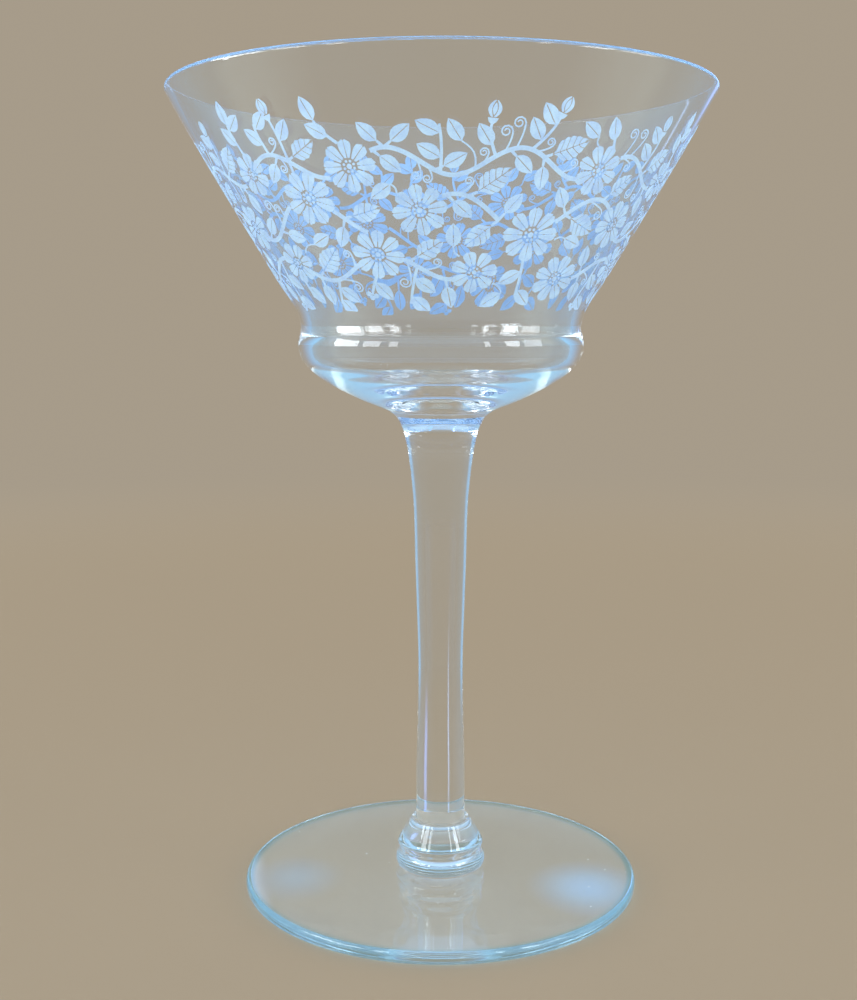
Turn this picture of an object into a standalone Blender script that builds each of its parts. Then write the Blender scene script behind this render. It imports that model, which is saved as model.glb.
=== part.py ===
# Stemmed sherbet glass: bowl, wafer, stem, two knops and foot, hot-joined end to end.
# Metres, +Z up. The glass stands on z = 0 and every piece is turned about the Z axis.

import math

import bpy
from mathutils import Vector
from mathutils.geometry import interpolate_bezier

# Driving sizes of the whole glass
HEIGHT = 0.1524
RIM_RADIUS = 0.0506
FOOT_RADIUS = 0.0385

# Levels of the joints between the pieces, above the table
LOWER_KNOP_SEAT = 0.0026
UPPER_KNOP_SEAT = 0.0061
STEM_SEAT = 0.0126
WAFER_SEAT = 0.0902
BOWL_SEAT = 0.0923
JOINT_GAP = 0.0003

# Foot: a disc with a round edge, level where it stands and a little hollow inside that ring
FOOT_EDGE = 0.0023
FOOT_EDGE_ROUND = 0.0009
FOOT_LEVEL_RADIUS = 0.0100
FOOT_RING_INNER = 0.0270
FOOT_HOLLOW = 0.0004

# Knops: a round bead below, and above it a cone-topped button with a round shoulder under the stem
LOWER_KNOP_RADIUS = 0.0088
KNOP_CREASE_RADIUS = 0.00785
UPPER_KNOP_RADIUS = 0.0084
UPPER_KNOP_BELLY = 0.0016
UPPER_KNOP_CONE_RADIUS = 0.00795
UPPER_KNOP_CONE_LEVEL = 0.0026
UPPER_KNOP_SHOULDER = 0.00595
UPPER_KNOP_SHOULDER_ROUND = 0.0006
UPPER_KNOP_SHOULDER_END = 28

# Stem: radius at heights above its seat
STEM_SHAPE = (
    (0.0000, 0.00490),
    (0.0024, 0.00481),
    (0.0106, 0.00478),
    (0.0204, 0.00450),
    (0.0327, 0.00438),
    (0.0422, 0.00466),
    (0.0517, 0.00496),
    (0.0634, 0.00531),
    (0.0727, 0.00630),
    (0.0767, 0.00712),
)
STEM_TOP = 0.00745

# Wafer: flares from the stem to the bowl
WAFER_WAIST = 0.0079
WAFER_TOP = 0.0084

# Bowl: wall thickness, and the outside's radius at heights above its seat
LIP_WALL = 0.0011
CUP_WALL = 0.0020
CONE_LEAN = math.radians(30.5)
CONE_SHAPE = (
    (0.0482, 0.0444),
    (0.0254, 0.0308),
)
WAIST_SHAPE = (
    (0.0203, 0.02748),
    (0.0169, 0.02643),
)
CUP_SHAPE = (
    (0.0134, 0.02705),
    (0.0100, 0.0259),
    (0.0067, 0.0222),
)
UNDERSIDE_SHAPE = (
    (0.0032, 0.0156),
    (0.0010, 0.0102),
)
BOWL_BASE = 0.0086

# Thick bottom of the bowl: where the even wall stops, and the inner floor's radius at heights below that
EVEN_WALL_END = 0.0148
FLOOR_SHAPE = (
    (0.01115, 0.0240),
    (0.00885, 0.0212),
    (0.00685, 0.0170),
    (0.00515, 0.0100),
    (0.00435, 0.0),
)

# How finely the rounds and curves are stepped
BOWL_SIDES = 56
FOOT_SIDES = 72
ROD_SIDES = 40
LONG_SPAN_STEPS = 2
SHORT_SPAN_STEPS = 3
EDGE_STEPS = 4
LIP_STEPS = 6
BEAD_STEPS = 10
HOLLOW_STEPS = 5
SHARP_ANGLE = math.radians(40)
MERGE_DISTANCE = 0.00001


def clear_scene():
    for item in list(bpy.data.objects):
        bpy.data.objects.remove(item, do_unlink=True)


def arc(centre, radius, start, end, steps):
    """Points (radius, height) round a centre, from one angle in degrees to another."""
    points = []
    for step in range(steps + 1):
        angle = math.radians(start + (end - start) * step / steps)
        points.append(Vector((centre[0] + radius * math.cos(angle), centre[1] + radius * math.sin(angle))))
    return points


def flow(stations, steps, end_slope=None):
    """A smooth curve through the stations, with the same number of steps in each span."""
    knots = [Vector(station) for station in stations]
    chords = [(end - start).length for start, end in zip(knots, knots[1:])]
    slopes = [(knots[1] - knots[0]) / chords[0]]
    for index in range(1, len(knots) - 1):
        slopes.append((knots[index + 1] - knots[index - 1]) / (chords[index - 1] + chords[index]))
    slopes.append(Vector(end_slope) if end_slope else (knots[-1] - knots[-2]) / chords[-1])
    points = [knots[0]]
    for index, chord in enumerate(chords):
        start_handle = knots[index] + slopes[index] * chord / 3
        end_handle = knots[index + 1] - slopes[index + 1] * chord / 3
        points += interpolate_bezier(knots[index], start_handle, end_handle, knots[index + 1], steps + 1)[1:]
    return points


def set_in(outside, thickness_at):
    """The inner face of a wall: each outside point moved square to the wall by its thickness."""
    inside = []
    for index, point in enumerate(outside):
        ahead = outside[min(index + 1, len(outside) - 1)]
        behind = outside[max(index - 1, 0)]
        run = (ahead - behind).normalized()
        inside.append(point + Vector((run.y, -run.x)) * thickness_at(point.y))
    return inside


def as_points(shape):
    """Turns (height, radius) pairs into (radius, height) points."""
    return [Vector((radius, height)) for height, radius in shape]


def clear_glass(name, tint, roughness):
    material = bpy.data.materials.new(name)
    material.use_nodes = True
    shader = material.node_tree.nodes["Principled BSDF"]
    shader.inputs["Base Color"].default_value = (*tint, 1.0)
    shader.inputs["Metallic"].default_value = 0.0
    shader.inputs["Roughness"].default_value = roughness
    shader.inputs["IOR"].default_value = 1.52
    shader.inputs["Transmission Weight"].default_value = 1.0
    material.diffuse_color = (*tint, 0.35)
    return material


def turned(name, outline, seat, sides, material, collection, stand):
    """One piece turned about Z from an outline that runs down its outer side, set on its seat."""
    mesh = bpy.data.meshes.new(name)
    verts = [(max(point.x, 0.0), 0.0, point.y) for point in outline]
    edges = [(index, index + 1) for index in range(len(verts) - 1)]
    mesh.from_pydata(verts, edges, [])
    piece = bpy.data.objects.new(name, mesh)
    collection.objects.link(piece)
    screw = piece.modifiers.new("Turn", "SCREW")
    screw.axis = "Z"
    screw.angle = math.tau
    screw.steps = sides
    screw.render_steps = sides
    screw.use_merge_vertices = True
    screw.merge_threshold = MERGE_DISTANCE
    solid = bpy.data.meshes.new_from_object(piece.evaluated_get(bpy.context.evaluated_depsgraph_get()))
    piece.modifiers.clear()
    piece.data = solid
    bpy.data.meshes.remove(mesh)
    solid.name = name
    solid.shade_smooth()
    solid.set_sharp_from_angle(angle=SHARP_ANGLE)
    solid.materials.append(material)
    piece.location.z = seat
    piece.parent = stand
    return piece


def foot_outline():
    level = LOWER_KNOP_SEAT - JOINT_GAP / 2
    round_centre = FOOT_RADIUS - FOOT_EDGE_ROUND
    upper = [(0.0, level), (FOOT_LEVEL_RADIUS, level)]
    upper_edge = arc((round_centre, FOOT_EDGE - FOOT_EDGE_ROUND), FOOT_EDGE_ROUND, 90, 0, EDGE_STEPS)
    lower_edge = arc((round_centre, FOOT_EDGE_ROUND), FOOT_EDGE_ROUND, 0, -90, EDGE_STEPS)
    hollow = []
    for step in range(HOLLOW_STEPS + 1):
        share = step / HOLLOW_STEPS
        rise = FOOT_HOLLOW * (1 - math.cos(math.pi * share)) / 2
        hollow.append(Vector((FOOT_RING_INNER * (1 - share), rise)))
    return [Vector(point) for point in upper] + upper_edge + lower_edge + hollow


def lower_knop_outline():
    height = UPPER_KNOP_SEAT - LOWER_KNOP_SEAT - JOINT_GAP
    bulge = LOWER_KNOP_RADIUS - KNOP_CREASE_RADIUS
    round_radius = (height * height / 4 + bulge * bulge) / (2 * bulge)
    spread = math.degrees(math.asin(min(1.0, height / 2 / round_radius)))
    centre = (LOWER_KNOP_RADIUS - round_radius, height / 2)
    side = arc(centre, round_radius, spread, -spread, BEAD_STEPS)
    return [Vector((0.0, height))] + side + [Vector((0.0, 0.0))]


def upper_knop_outline():
    height = STEM_SEAT - UPPER_KNOP_SEAT - JOINT_GAP
    round_centre = (UPPER_KNOP_SHOULDER - UPPER_KNOP_SHOULDER_ROUND, height - UPPER_KNOP_SHOULDER_ROUND)
    shoulder = arc(round_centre, UPPER_KNOP_SHOULDER_ROUND, 90, UPPER_KNOP_SHOULDER_END, EDGE_STEPS)
    side = flow(
        (
            shoulder[-1],
            (UPPER_KNOP_CONE_RADIUS, UPPER_KNOP_CONE_LEVEL),
            (UPPER_KNOP_RADIUS, UPPER_KNOP_BELLY),
            (KNOP_CREASE_RADIUS, 0.0),
        ),
        SHORT_SPAN_STEPS,
    )
    return [Vector((0.0, height))] + shoulder + side[1:] + [Vector((0.0, 0.0))]


def stem_outline():
    height = WAFER_SEAT - STEM_SEAT - JOINT_GAP
    side = flow([(STEM_TOP, height)] + as_points(STEM_SHAPE)[::-1], LONG_SPAN_STEPS)
    return [Vector((0.0, height))] + side + [Vector((0.0, 0.0))]


def wafer_outline():
    height = BOWL_SEAT - WAFER_SEAT - JOINT_GAP
    side = flow(((WAFER_TOP, height), (WAFER_WAIST, height / 2), (STEM_TOP, 0.0)), SHORT_SPAN_STEPS)
    return [Vector((0.0, height))] + side + [Vector((0.0, 0.0))]


def bowl_outline():
    height = HEIGHT - BOWL_SEAT - JOINT_GAP / 2
    lip_radius = LIP_WALL / 2
    lip_centre = (RIM_RADIUS - lip_radius, height - lip_radius)
    lean = math.degrees(CONE_LEAN)
    lip = arc(lip_centre, lip_radius, 180 - lean, -lean, LIP_STEPS)

    wall_stations = [lip[-1]] + as_points(CONE_SHAPE + WAIST_SHAPE + CUP_SHAPE)
    underside_stations = as_points(UNDERSIDE_SHAPE) + [Vector((BOWL_BASE, 0.0))]
    outside = flow(wall_stations + underside_stations, LONG_SPAN_STEPS)
    cup_level = CUP_SHAPE[-1][0]

    def thickness_at(level):
        return CUP_WALL + (LIP_WALL - CUP_WALL) * (level - cup_level) / (height - cup_level)

    wall = outside[: LONG_SPAN_STEPS * (len(wall_stations) - 1) + 1]
    inside = [point for point in set_in(wall, thickness_at)[1:] if point.y > EVEN_WALL_END]
    floor = flow([inside[-1]] + as_points(FLOOR_SHAPE), SHORT_SPAN_STEPS, end_slope=(-1.0, 0.0))
    return floor[::-1] + inside[-2::-1] + lip + outside[1:] + [Vector((0.0, 0.0))]


def build():
    clear_scene()
    collection = bpy.data.collections.new("sherbet_glass")
    bpy.context.scene.collection.children.link(collection)
    stand = bpy.data.objects.new("sherbet_glass_stand", None)
    collection.objects.link(stand)

    above = JOINT_GAP / 2
    blown = clear_glass("blown_glass", (0.95, 0.97, 0.98), 0.02)
    joined = clear_glass("wafer_glass", (0.86, 0.92, 0.97), 0.03)
    drawn = clear_glass("drawn_glass", (0.92, 0.95, 0.98), 0.02)
    button = clear_glass("button_glass", (0.93, 0.95, 0.97), 0.03)
    bead = clear_glass("bead_glass", (0.93, 0.95, 0.96), 0.03)
    spun = clear_glass("spun_glass", (0.94, 0.96, 0.97), 0.02)

    turned("bowl", bowl_outline(), BOWL_SEAT + above, BOWL_SIDES, blown, collection, stand)
    turned("joining_wafer", wafer_outline(), WAFER_SEAT + above, ROD_SIDES, joined, collection, stand)
    turned("stem", stem_outline(), STEM_SEAT + above, ROD_SIDES, drawn, collection, stand)
    turned("upper_knop", upper_knop_outline(), UPPER_KNOP_SEAT + above, ROD_SIDES, button, collection, stand)
    turned("lower_knop", lower_knop_outline(), LOWER_KNOP_SEAT + above, ROD_SIDES, bead, collection, stand)
    turned("foot", foot_outline(), 0.0, FOOT_SIDES, spun, collection, stand)


build()
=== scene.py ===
import math
import random

import bpy
import numpy as np
from mathutils import Matrix, Vector
from mathutils.geometry import interpolate_bezier


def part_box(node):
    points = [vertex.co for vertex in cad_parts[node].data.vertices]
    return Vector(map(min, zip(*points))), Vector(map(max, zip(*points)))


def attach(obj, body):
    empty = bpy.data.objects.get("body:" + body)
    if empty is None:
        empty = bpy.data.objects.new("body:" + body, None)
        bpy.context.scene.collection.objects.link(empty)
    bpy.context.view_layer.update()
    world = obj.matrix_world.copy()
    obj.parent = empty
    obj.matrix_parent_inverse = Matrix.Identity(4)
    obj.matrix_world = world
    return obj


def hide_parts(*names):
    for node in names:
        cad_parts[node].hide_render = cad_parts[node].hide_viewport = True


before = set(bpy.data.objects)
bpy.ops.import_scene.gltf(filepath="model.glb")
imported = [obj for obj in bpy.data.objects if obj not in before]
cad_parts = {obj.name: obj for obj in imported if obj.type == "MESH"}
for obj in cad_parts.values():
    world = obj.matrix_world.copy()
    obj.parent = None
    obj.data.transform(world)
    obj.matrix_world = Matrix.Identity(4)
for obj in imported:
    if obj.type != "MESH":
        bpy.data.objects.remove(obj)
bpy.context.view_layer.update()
print("frame loaded:", sorted(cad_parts))

# The fused joints lie half way across the gaps between the solids
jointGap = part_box("stem")[0].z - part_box("upper_knop")[1].z
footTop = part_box("foot")[1].z + jointGap / 2
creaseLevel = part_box("lower_knop")[1].z + jointGap / 2
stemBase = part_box("upper_knop")[1].z + jointGap / 2
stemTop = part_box("stem")[1].z + jointGap / 2
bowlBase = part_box("joining_wafer")[1].z + jointGap / 2
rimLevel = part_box("bowl")[1].z
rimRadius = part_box("bowl")[1].x
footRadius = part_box("foot")[1].x
jointReach = 0.000003  # a face within this of a joint level belongs to the joint
seamReach = 0.000002  # points within this close a seam or a pole
creaseAngle = math.radians(35)


# Lines in the plane of a turned piece: x is the radius, y is the height
def smoothLine(stations, steps, endSlope=None):
    knots = [Vector(s) for s in stations]
    chords = [(b - a).length for a, b in zip(knots, knots[1:])]
    slopes = [(knots[1] - knots[0]) / chords[0]]
    for i in range(1, len(knots) - 1):
        slopes.append((knots[i + 1] - knots[i - 1]) / (chords[i - 1] + chords[i]))
    slopes.append(Vector(endSlope) if endSlope else (knots[-1] - knots[-2]) / chords[-1])
    line = [knots[0]]
    for i, chord in enumerate(chords):
        leave = knots[i] + slopes[i] * chord / 3
        arrive = knots[i + 1] - slopes[i + 1] * chord / 3
        line += interpolate_bezier(knots[i], leave, arrive, knots[i + 1], steps + 1)[1:]
    return line


def roundLine(centre, radius, start, end, steps):
    line = []
    for i in range(steps + 1):
        angle = math.radians(start + (end - start) * i / steps)
        line.append(Vector((centre[0] + radius * math.cos(angle), centre[1] + radius * math.sin(angle))))
    return line


# A point is drawn out along the outline and spun round the glass's own axis
def turnGlass(name, outline, sides, jointLevels, glass):
    bpy.ops.object.select_all(action="DESELECT")
    bpy.ops.mesh.primitive_plane_add(size=0.001, location=(0, 0, 0))
    piece = bpy.context.object
    piece.name = piece.data.name = name
    bpy.ops.object.mode_set(mode="EDIT")
    bpy.ops.mesh.select_all(action="SELECT")
    bpy.ops.mesh.merge(type="CENTER")
    bpy.ops.transform.translate(value=(outline[0].x, 0, outline[0].y))
    for here, there in zip(outline, outline[1:]):
        step = there - here
        bpy.ops.mesh.extrude_region_move(TRANSFORM_OT_translate={"value": (step.x, 0, step.y)})
    bpy.ops.mesh.select_all(action="SELECT")
    bpy.ops.mesh.spin(steps=sides, angle=math.tau, center=(0, 0, 0), axis=(0, 0, 1))
    bpy.ops.mesh.select_all(action="SELECT")
    bpy.ops.mesh.remove_doubles(threshold=seamReach)
    bpy.ops.mesh.normals_make_consistent(inside=False)
    bpy.ops.object.mode_set(mode="OBJECT")
    bpy.ops.object.shade_smooth_by_angle(angle=creaseAngle)
    piece.data.materials.append(glass)
    piece.data.materials.append(fusedJoint)
    for face in piece.data.polygons:
        heights = [piece.data.vertices[v].co.z for v in face.vertices]
        if any(max(abs(z - level) for z in heights) < jointReach for level in jointLevels):
            face.material_index = 1
    print(name, "turned:", len(piece.data.polygons), "faces")
    return piece


# Node work: a value that is another node's socket is linked, anything else is set
def feed(tree, node, values):
    for socket, value in values.items():
        if isinstance(value, bpy.types.NodeSocket):
            tree.links.new(value, node.inputs[socket])
        else:
            node.inputs[socket].default_value = value


def addNode(tree, kind, values=None, **settings):
    node = tree.nodes.new(kind)
    for setting, value in settings.items():
        setattr(node, setting, value)
    feed(tree, node, values or {})
    return node


def reckon(tree, operation, first, second=0.0):
    return addNode(tree, "ShaderNodeMath", {0: first, 1: second}, operation=operation).outputs["Value"]


def rise(tree, value, start, end, low=0.0, high=1.0, kind="LINEAR"):
    node = addNode(tree, "ShaderNodeMapRange", {
        "Value": value, "From Min": start, "From Max": end, "To Min": low, "To Max": high},
        interpolation_type=kind)
    return node.outputs["Result"]


def softRise(tree, value, start, end):
    return rise(tree, value, start, end, kind="SMOOTHSTEP")


def blend(tree, share, first, second):
    node = addNode(tree, "ShaderNodeMix", {"Factor": share, "A": first, "B": second}, data_type="RGBA")
    return node.outputs["Result"]


def lengthOf(tree, vector):
    return addNode(tree, "ShaderNodeVectorMath", {0: vector}, operation="LENGTH").outputs["Value"]


def newGroup(name, inputs, outputs):
    group = bpy.data.node_groups.new(name, "ShaderNodeTree")
    for sockets, way in ((inputs, "INPUT"), (outputs, "OUTPUT")):
        for label, kind in sockets.items():
            group.interface.new_socket(label, in_out=way, socket_type="NodeSocket" + kind)
    given = group.nodes.new("NodeGroupInput").outputs
    return group, given, group.nodes.new("NodeGroupOutput")


def newMaterial(name):
    material = bpy.data.materials.new(name)
    material.use_nodes = True
    return material, material.node_tree, material.node_tree.nodes["Principled BSDF"]


def mixSurface(tree, share, first, second):
    mix = addNode(tree, "ShaderNodeMixShader", {"Fac": share, 1: first, 2: second})
    feed(tree, tree.nodes["Material Output"], {"Surface": mix.outputs["Shader"]})


# Shared surface effects
def makeWorkedGlass():
    group, given, out = newGroup(
        "workedGlass",
        {"Vector": "Vector", "Ripple Scale": "Float", "Smear Scale": "Float",
         "Smear": "Float", "Dust": "Float"},
        {"Height": "Float", "Roughness": "Float"})
    ripple = addNode(group, "ShaderNodeTexNoise", {
        "Vector": given["Vector"], "Scale": given["Ripple Scale"], "Detail": 1.0, "Roughness": 0.4})
    # finger smears: soft patches broken up by finer streaks
    patch = addNode(group, "ShaderNodeTexNoise", {
        "Vector": given["Vector"], "Scale": given["Smear Scale"],
        "Detail": 5.0, "Roughness": 0.65, "Distortion": 0.8})
    smearFrom, smearFull = 0.50, 0.72
    smear = rise(group, patch.outputs["Fac"], smearFrom, smearFull)
    smeared = reckon(group, "MULTIPLY", smear, given["Smear"])
    # dust: a few tiny spots
    specks = addNode(group, "ShaderNodeTexVoronoi", {
        "Vector": given["Vector"], "Scale": 520.0, "Randomness": 1.0})
    speckReach = 0.085
    near = reckon(group, "LESS_THAN", specks.outputs["Distance"], speckReach)
    dusted = reckon(group, "MULTIPLY", near, given["Dust"])
    feed(group, out, {"Height": ripple.outputs["Fac"], "Roughness": reckon(group, "ADD", smeared, dusted)})
    return group


def makeAcidGrain():
    group, given, out = newGroup(
        "acidGrain", {"Vector": "Vector", "Grain Scale": "Float", "Bright": "Color", "Deep": "Color"},
        {"Colour": "Color", "Roughness": "Float", "Height": "Float"})
    grain = addNode(group, "ShaderNodeTexNoise", {
        "Vector": given["Vector"], "Scale": given["Grain Scale"], "Detail": 3.0, "Roughness": 0.7})
    bite = addNode(group, "ShaderNodeTexNoise", {
        "Vector": given["Vector"], "Scale": 420.0, "Detail": 3.0, "Roughness": 0.6})
    both = reckon(group, "ADD", grain.outputs["Fac"], bite.outputs["Fac"])
    deepAt, brightAt = 0.72, 1.18
    smoothest, roughest = 0.55, 0.78
    spread = rise(group, both, deepAt, brightAt)
    feed(group, out, {
        "Colour": blend(group, spread, given["Deep"], given["Bright"]),
        "Roughness": rise(group, spread, 0.0, 1.0, smoothest, roughest), "Height": grain.outputs["Fac"]})
    return group


workedGlass = makeWorkedGlass()
acidGrain = makeAcidGrain()


# Clear to the lamps, so that the glass throws a soft shadow and not a black one
def letLampsThrough(tree, shader, shade):
    path = tree.nodes.new("ShaderNodeLightPath").outputs
    clear = addNode(tree, "ShaderNodeBsdfTransparent", {"Color": (*shade, 1)})
    mixSurface(tree, path["Is Shadow Ray"], shader.outputs["BSDF"], clear.outputs["BSDF"])


# What a glass look has where it says no other
plainGlass = {"index": 1.5, "shade": (0.9, 0.92, 0.94), "stretch": (1.0, 1.0, 1.0)}


def clearGlass(name, changes):
    look = {**plainGlass, **changes}
    material, tree, shader = newMaterial(name)
    place = tree.nodes.new("ShaderNodeTexCoord").outputs["Object"]
    stretch = addNode(tree, "ShaderNodeMapping", {"Vector": place, "Scale": look["stretch"]})
    surface = addNode(tree, "ShaderNodeGroup", {
        "Vector": stretch.outputs["Vector"], "Ripple Scale": look["rippleScale"],
        "Smear Scale": look["smearScale"], "Smear": look["smear"], "Dust": look["dust"]},
        node_tree=workedGlass)
    bump = addNode(tree, "ShaderNodeBump", {
        "Strength": 1.0, "Distance": look["ripple"], "Height": surface.outputs["Height"]})
    feed(tree, shader, {
        "Base Color": (*look["tint"], 1), "IOR": look["index"], "Transmission Weight": 1,
        "Normal": bump.outputs["Normal"], "Roughness": surface.outputs["Roughness"]})
    # Painted edge light: the base colour turns cyan towards the rim. It stands in for the blue light that
    # the foot's edge shows, as well as for the long way light goes through the glass there.
    if "rimPaintedLight" in look:  # light comes a long way through the glass to get out at a rim
        flat = addNode(tree, "ShaderNodeVectorMath", {0: place, 1: (1, 1, 0)}, operation="MULTIPLY")
        rim = rise(tree, lengthOf(tree, flat.outputs["Vector"]), look["rimFrom"], look["rimFull"])
        feed(tree, shader, {"Base Color": blend(tree, rim, (*look["tint"], 1), (*look["rimPaintedLight"], 1))})
    letLampsThrough(tree, shader, look["shade"])
    return material


# Glass runs on through a joint, so its faces are clear
fusedJoint, _, jointShader = newMaterial("fusedJoint")
jointShader.inputs["Alpha"].default_value = 0.0

# Bowl: a thin blown cone on a rounded cup
bowlValues = {
    "lipWall": 0.0011, "cupWall": 0.0020, "lean": 30.5,
    # thick glass in the bottom: where the even wall stops, then the floor from there to the middle
    "evenTo": 0.0148,
    "floor": [(0.0240, 0.01115), (0.0212, 0.00885), (0.0170, 0.00685), (0.0100, 0.00515), (0.0, 0.00435)],
    # radius and height above the base, from the cone down to the cup
    "wall": [(0.0444, 0.0482), (0.0308, 0.0254), (0.02748, 0.0203), (0.02643, 0.0169),
             (0.02705, 0.0134), (0.0259, 0.0100), (0.0222, 0.0067)],
    "underside": [(0.0156, 0.0032), (0.0102, 0.0010)],
    "base": 0.0086, "lift": 0.00015,
    "steps": 12, "lipSteps": 16, "sides": 192,
    "look": {"tint": (0.955, 0.98, 1.0), "ripple": 0.000004, "rippleScale": 90.0, "stretch": (1.0, 1.0, 0.6),
             "smear": 0.015, "smearScale": 70.0, "dust": 0.12},
}


def bowlLip(v):
    lip = v["lipWall"] / 2
    return roundLine((rimRadius - lip, rimLevel - lip), lip, 180 - v["lean"], -v["lean"], v["lipSteps"])


def bowlOutside(v):
    lifted = bowlBase + v["lift"]
    wall = [bowlLip(v)[-1]] + [(r, z + lifted) for r, z in v["wall"]]
    under = [(r, z + lifted) for r, z in v["underside"]] + [(v["base"], bowlBase)]
    return smoothLine(wall + under, v["steps"]), v["steps"] * len(v["wall"]) + 1


def bowlOutline(v):
    outside, wallCount = bowlOutside(v)
    wallLine = outside[:wallCount]
    low = wallLine[-1].y
    high = wallLine[0].y
    inside = []
    for i, point in enumerate(wallLine):
        run = (wallLine[min(i + 1, wallCount - 1)] - wallLine[max(i - 1, 0)]).normalized()
        share = (point.y - low) / (high - low)
        thickness = v["cupWall"] + (v["lipWall"] - v["cupWall"]) * share
        inside.append(point + Vector((run.y, -run.x)) * thickness)
    lifted = bowlBase + v["lift"]
    inside = [p for p in inside if p.y > lifted + v["evenTo"]]
    floorLine = smoothLine(
        [inside[-1]] + [(r, z + lifted) for r, z in v["floor"]], v["steps"], endSlope=(-1, 0))
    return floorLine[::-1] + inside[-2:0:-1] + bowlLip(v) + outside[1:] + [Vector((0, bowlBase))]


bowl = turnGlass("bowl_glass", bowlOutline(bowlValues), bowlValues["sides"], [bowlBase],
                 clearGlass("bowlGlass", bowlValues["look"]))

# Wafer: the disc that the bowl is stuck to the stem with
waferValues = {
    "base": 0.00745, "waist": 0.0079, "top": 0.0086, "steps": 8, "sides": 128,
    "look": {"tint": (0.90, 0.955, 1.0), "ripple": 0.000003, "rippleScale": 260.0,
             "smear": 0.01, "smearScale": 120.0, "dust": 0.0},
}
waferLine = smoothLine(
    [(waferValues["top"], bowlBase), (waferValues["waist"], (bowlBase + stemTop) / 2),
     (waferValues["base"], stemTop)], waferValues["steps"])
wafer = turnGlass("wafer_glass", [Vector((0, bowlBase))] + waferLine + [Vector((0, stemTop))],
                  waferValues["sides"], [bowlBase, stemTop], clearGlass("waferGlass", waferValues["look"]))

# Stem: one drawn rod
stemValues = {
    "top": 0.00745, "steps": 10, "sides": 128,
    # radius and height above the knops, from the top down
    "shape": [(0.00712, 0.0767), (0.00630, 0.0727), (0.00531, 0.0634), (0.00496, 0.0517), (0.00466, 0.0422),
              (0.00438, 0.0327), (0.00450, 0.0204), (0.00478, 0.0106), (0.00481, 0.0024), (0.00490, 0.0000)],
    "look": {"tint": (0.95, 0.98, 1.0), "ripple": 0.0000025, "rippleScale": 200.0,
             "stretch": (1.0, 1.0, 0.18), "smear": 0.012, "smearScale": 90.0, "dust": 0.10},
}
stemStations = [(stemValues["top"], stemTop)] + [(r, z + stemBase) for r, z in stemValues["shape"]]
stemLine = smoothLine(stemStations, stemValues["steps"])
stem = turnGlass("stem_glass", [Vector((0, stemTop))] + stemLine + [Vector((0, stemBase))],
                 stemValues["sides"], [stemTop, stemBase], clearGlass("stemGlass", stemValues["look"]))

# Knops: a cone-topped button over a round bead
knopLook = {"tint": (0.94, 0.975, 1.0), "ripple": 0.000003, "rippleScale": 240.0,
            "smear": 0.01, "smearScale": 120.0, "dust": 0.08}
knopGlass = clearGlass("knopGlass", knopLook)
beadValues = {"radius": 0.0088, "ends": 0.00785, "steps": 24, "sides": 128}
buttonValues = {
    # the shoulder's round runs between these angles, from beside the stem to the top of the cone
    "shoulder": 0.00595, "shoulderRound": 0.0006, "shoulderFrom": 75, "shoulderTo": 28,
    "coneRadius": 0.00795, "coneLevel": 0.0026, "radius": 0.0084, "belly": 0.0016,
    "roundSteps": 8, "steps": 10, "sides": 128,
}


def buttonOutline(v):
    roundAt = (v["shoulder"] - v["shoulderRound"], stemBase - v["shoulderRound"])
    line = [Vector((0, stemBase)), stemLine[-1]]
    line += roundLine(roundAt, v["shoulderRound"], v["shoulderFrom"], v["shoulderTo"], v["roundSteps"])
    line += smoothLine(
        [line[-1], (v["coneRadius"], creaseLevel + v["coneLevel"]), (v["radius"], creaseLevel + v["belly"]),
         (beadValues["ends"], creaseLevel)], v["steps"])[1:]
    return line + [Vector((0, creaseLevel))]


button = turnGlass("upper_knop_glass", buttonOutline(buttonValues), buttonValues["sides"],
                   [stemBase, creaseLevel], knopGlass)
beadHalf = (creaseLevel - footTop) / 2
beadBulge = beadValues["radius"] - beadValues["ends"]
beadCurve = (beadHalf * beadHalf + beadBulge * beadBulge) / (2 * beadBulge)
beadSpread = math.degrees(math.asin(beadHalf / beadCurve))
beadLine = roundLine((beadValues["radius"] - beadCurve, footTop + beadHalf), beadCurve,
                     beadSpread, -beadSpread, beadValues["steps"])
bead = turnGlass("lower_knop_glass", [Vector((0, creaseLevel))] + beadLine + [Vector((0, footTop))],
                 beadValues["sides"], [creaseLevel, footTop], knopGlass)

# Foot: a thin pressed disc, slightly hollow underneath
footValues = {
    "edge": 0.0023, "edgeRound": 0.0009, "level": 0.0100, "fall": 0.00005, "ringInner": 0.0270,
    "hollow": 0.0004, "edgeSteps": 10, "hollowSteps": 24, "sides": 192,
    "look": {"tint": (0.945, 0.975, 1.0), "ripple": 0.000004, "rippleScale": 110.0,
             "smear": 0.05, "smearScale": 55.0, "dust": 0.25,
             # painted light: the rim is tinted cyan for the blue light at the foot's edge
             "rimPaintedLight": (0.52, 0.82, 0.97), "rimFrom": 0.0366, "rimFull": 0.0374},
}


def footOutline(v):
    roundAt = footRadius - v["edgeRound"]
    line = [Vector((0, footTop)), beadLine[-1], Vector((v["level"], footTop - v["fall"]))]
    line += roundLine((roundAt, v["edge"] - v["edgeRound"]), v["edgeRound"], 90, 0, v["edgeSteps"])
    line += roundLine((roundAt, v["edgeRound"]), v["edgeRound"], 0, -90, v["edgeSteps"])
    for i in range(v["hollowSteps"] + 1):
        share = i / v["hollowSteps"]
        height = v["hollow"] * (1 - math.cos(math.pi * share)) / 2
        line.append(Vector((v["ringInner"] * (1 - share), height)))
    return line


foot = turnGlass("foot_glass", footOutline(footValues), footValues["sides"], [footTop],
                 clearGlass("footGlass", footValues["look"]))

for piece, node, slot in ((bowl, "bowl", "bowl_glass"), (wafer, "joining_wafer", "wafer_glass"),
                          (stem, "stem", "stem_glass"), (button, "upper_knop", "knop_glass"),
                          (bead, "lower_knop", "knop_glass"), (foot, "foot", "foot_glass")):
    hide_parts(node)
    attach(piece, "root")
print("glass turned")

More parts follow.
